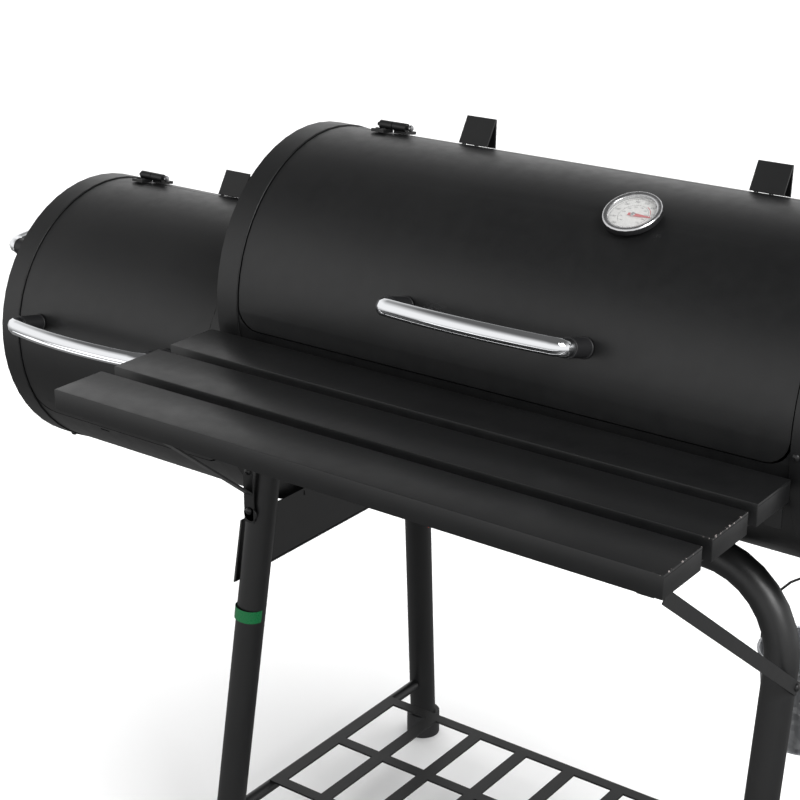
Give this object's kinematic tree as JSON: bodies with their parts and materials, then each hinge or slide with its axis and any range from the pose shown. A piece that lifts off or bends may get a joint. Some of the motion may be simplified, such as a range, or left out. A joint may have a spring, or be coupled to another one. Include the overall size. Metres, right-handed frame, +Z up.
{
  "type": "barrel charcoal grill",
  "caption": "Barrel charcoal grill with hinged lid, offset firebox, thermometer, chimney, slatted front shelf, grease bucket and a wheeled stand.",
  "frame": {"origin": "on the floor under the middle of the whole grill's box", "axes": "+X along the barrel away from the firebox, +Y to the back, +Z up"},
  "size_m": [1.3583, 0.7115, 1.1443],
  "materials": {
    "black_paint": "satin black powder coat",
    "chrome": "polished chrome plate",
    "stainless": "spun stainless steel",
    "black_plastic": "moulded black plastic",
    "dial_white": "printed white dial",
    "clear_glass": "clear flat glass",
    "pointer_red": "red lacquer",
    "cast_iron": "seasoned iron",
    "zinc": "zinc plate"
  },
  "bodies": {
    "stand": {"main_barrel_body": "black_paint", "main_end_cap_left": "black_paint", "main_end_cap_right": "black_paint", "main_hinge_left_body_leaf": "black_paint", "main_hinge_right_body_leaf": "black_paint", "main_lid_stop_left": "black_paint", "main_lid_stop_right": "black_paint", "charcoal_grate": "cast_iron", "chimney_pipe": "black_paint", "drain_spout": "black_paint", "bucket_hook": "black_paint", "firebox_body": "black_paint", "firebox_end_cap_left": "black_paint", "firebox_end_cap_right": "black_paint", "firebox_hinge_left_body_leaf": "black_paint", "firebox_hinge_right_body_leaf": "black_paint", "firebox_lid_stop": "black_paint", "firebox_grate": "cast_iron", "lift_handle_bar": "chrome", "lift_handle_standoff_front": "black_plastic", "lift_handle_standoff_rear": "black_plastic", "leg_front_left": "black_paint", "leg_rear_left": "black_paint", "leg_front_right": "black_paint", "leg_rear_right": "black_paint", "foot_front_left": "black_plastic", "foot_rear_left": "black_plastic", "leg_panel": "black_paint", "axle": "zinc", "bottom_shelf": "black_paint", "shelf_slat_front": "black_paint", "shelf_slat_middle": "black_paint", "shelf_slat_rear": "black_paint", "shelf_bracket_left": "black_paint", "shelf_bracket_right": "black_paint"},
    "main_lid": {"main_lid": "black_paint", "main_handle_bar": "chrome", "main_handle_standoff_left": "black_plastic", "main_handle_standoff_right": "black_plastic", "thermometer_case": "stainless", "thermometer_dial": "dial_white", "thermometer_glass": "clear_glass", "main_hinge_left_lid_leaf": "black_paint", "main_hinge_right_lid_leaf": "black_paint"},
    "thermometer_needle": {"thermometer_pointer": "pointer_red"},
    "firebox_lid": {"firebox_lid": "black_paint", "firebox_handle_bar": "chrome", "firebox_handle_standoff_left": "black_plastic", "firebox_handle_standoff_right": "black_plastic", "firebox_hinge_left_lid_leaf": "black_paint", "firebox_hinge_right_lid_leaf": "black_paint"},
    "cooking_grate_left": {"cooking_grate_left": "cast_iron"},
    "cooking_grate_right": {"cooking_grate_right": "cast_iron"},
    "chimney_damper": {"chimney_damper": "black_paint"},
    "air_damper": {"air_damper": "black_paint"},
    "bucket_bail": {"bucket_bail": "black_paint"},
    "grease_bucket": {"grease_bucket": "zinc"},
    "wheel_front": {"wheel_front": "black_plastic"},
    "wheel_rear": {"wheel_rear": "black_plastic"}
  },
  "joints": [
    {"name": "main_lid_hinge", "type": "hinge", "parent": "stand", "child": "main_lid", "pos_m": [0.1818, 0.13206, 0.99469], "axis": [-1, 0, 0], "range_deg": [0, 147]},
    {"name": "needle_turn", "type": "hinge", "parent": "main_lid", "child": "thermometer_needle", "pos_m": [0.2977, 0.01643, 0.96828], "axis": [0, -0.4478, 0.8942], "range_deg": [-45, 225]},
    {"name": "firebox_lid_hinge", "type": "hinge", "parent": "stand", "child": "firebox_lid", "pos_m": [-0.408, 0.13206, 0.86869], "axis": [-1, 0, 0], "range_deg": [0, 147]},
    {"name": "grate_left_lift", "type": "slide", "parent": "stand", "child": "cooking_grate_left", "axis": [0, 0, 1], "range_m": [0, 0.05]},
    {"name": "grate_right_lift", "type": "slide", "parent": "stand", "child": "cooking_grate_right", "axis": [0, 0, 1], "range_m": [0, 0.05]},
    {"name": "chimney_damper_swing", "type": "hinge", "parent": "stand", "child": "chimney_damper", "pos_m": [0.6721, 0.1007, 1.1303], "axis": [0, 0, 1], "range_deg": [0, 110]},
    {"name": "air_damper_turn", "type": "hinge", "parent": "stand", "child": "air_damper", "pos_m": [-0.6071, 0.1007, 0.624], "axis": [1, 0, 0], "range_deg": [-30, 30]},
    {"name": "bail_swing", "type": "hinge", "parent": "stand", "child": "bucket_bail", "pos_m": [0.5071, 0.1007, 0.569], "axis": [1, 0, 0], "range_deg": [-18, 18]},
    {"name": "bucket_tilt", "type": "hinge", "parent": "bucket_bail", "child": "grease_bucket", "pos_m": [0.5071, 0.1007, 0.469], "axis": [1, 0, 0], "range_deg": [-10, 10]},
    {"name": "wheel_front_spin", "type": "hinge", "parent": "stand", "child": "wheel_front", "pos_m": [0.5258, -0.1228, 0.075], "axis": [0, 1, 0], "continuous": true},
    {"name": "wheel_rear_spin", "type": "hinge", "parent": "stand", "child": "wheel_rear", "pos_m": [0.5258, 0.3242, 0.075], "axis": [0, 1, 0], "continuous": true}
  ]
}
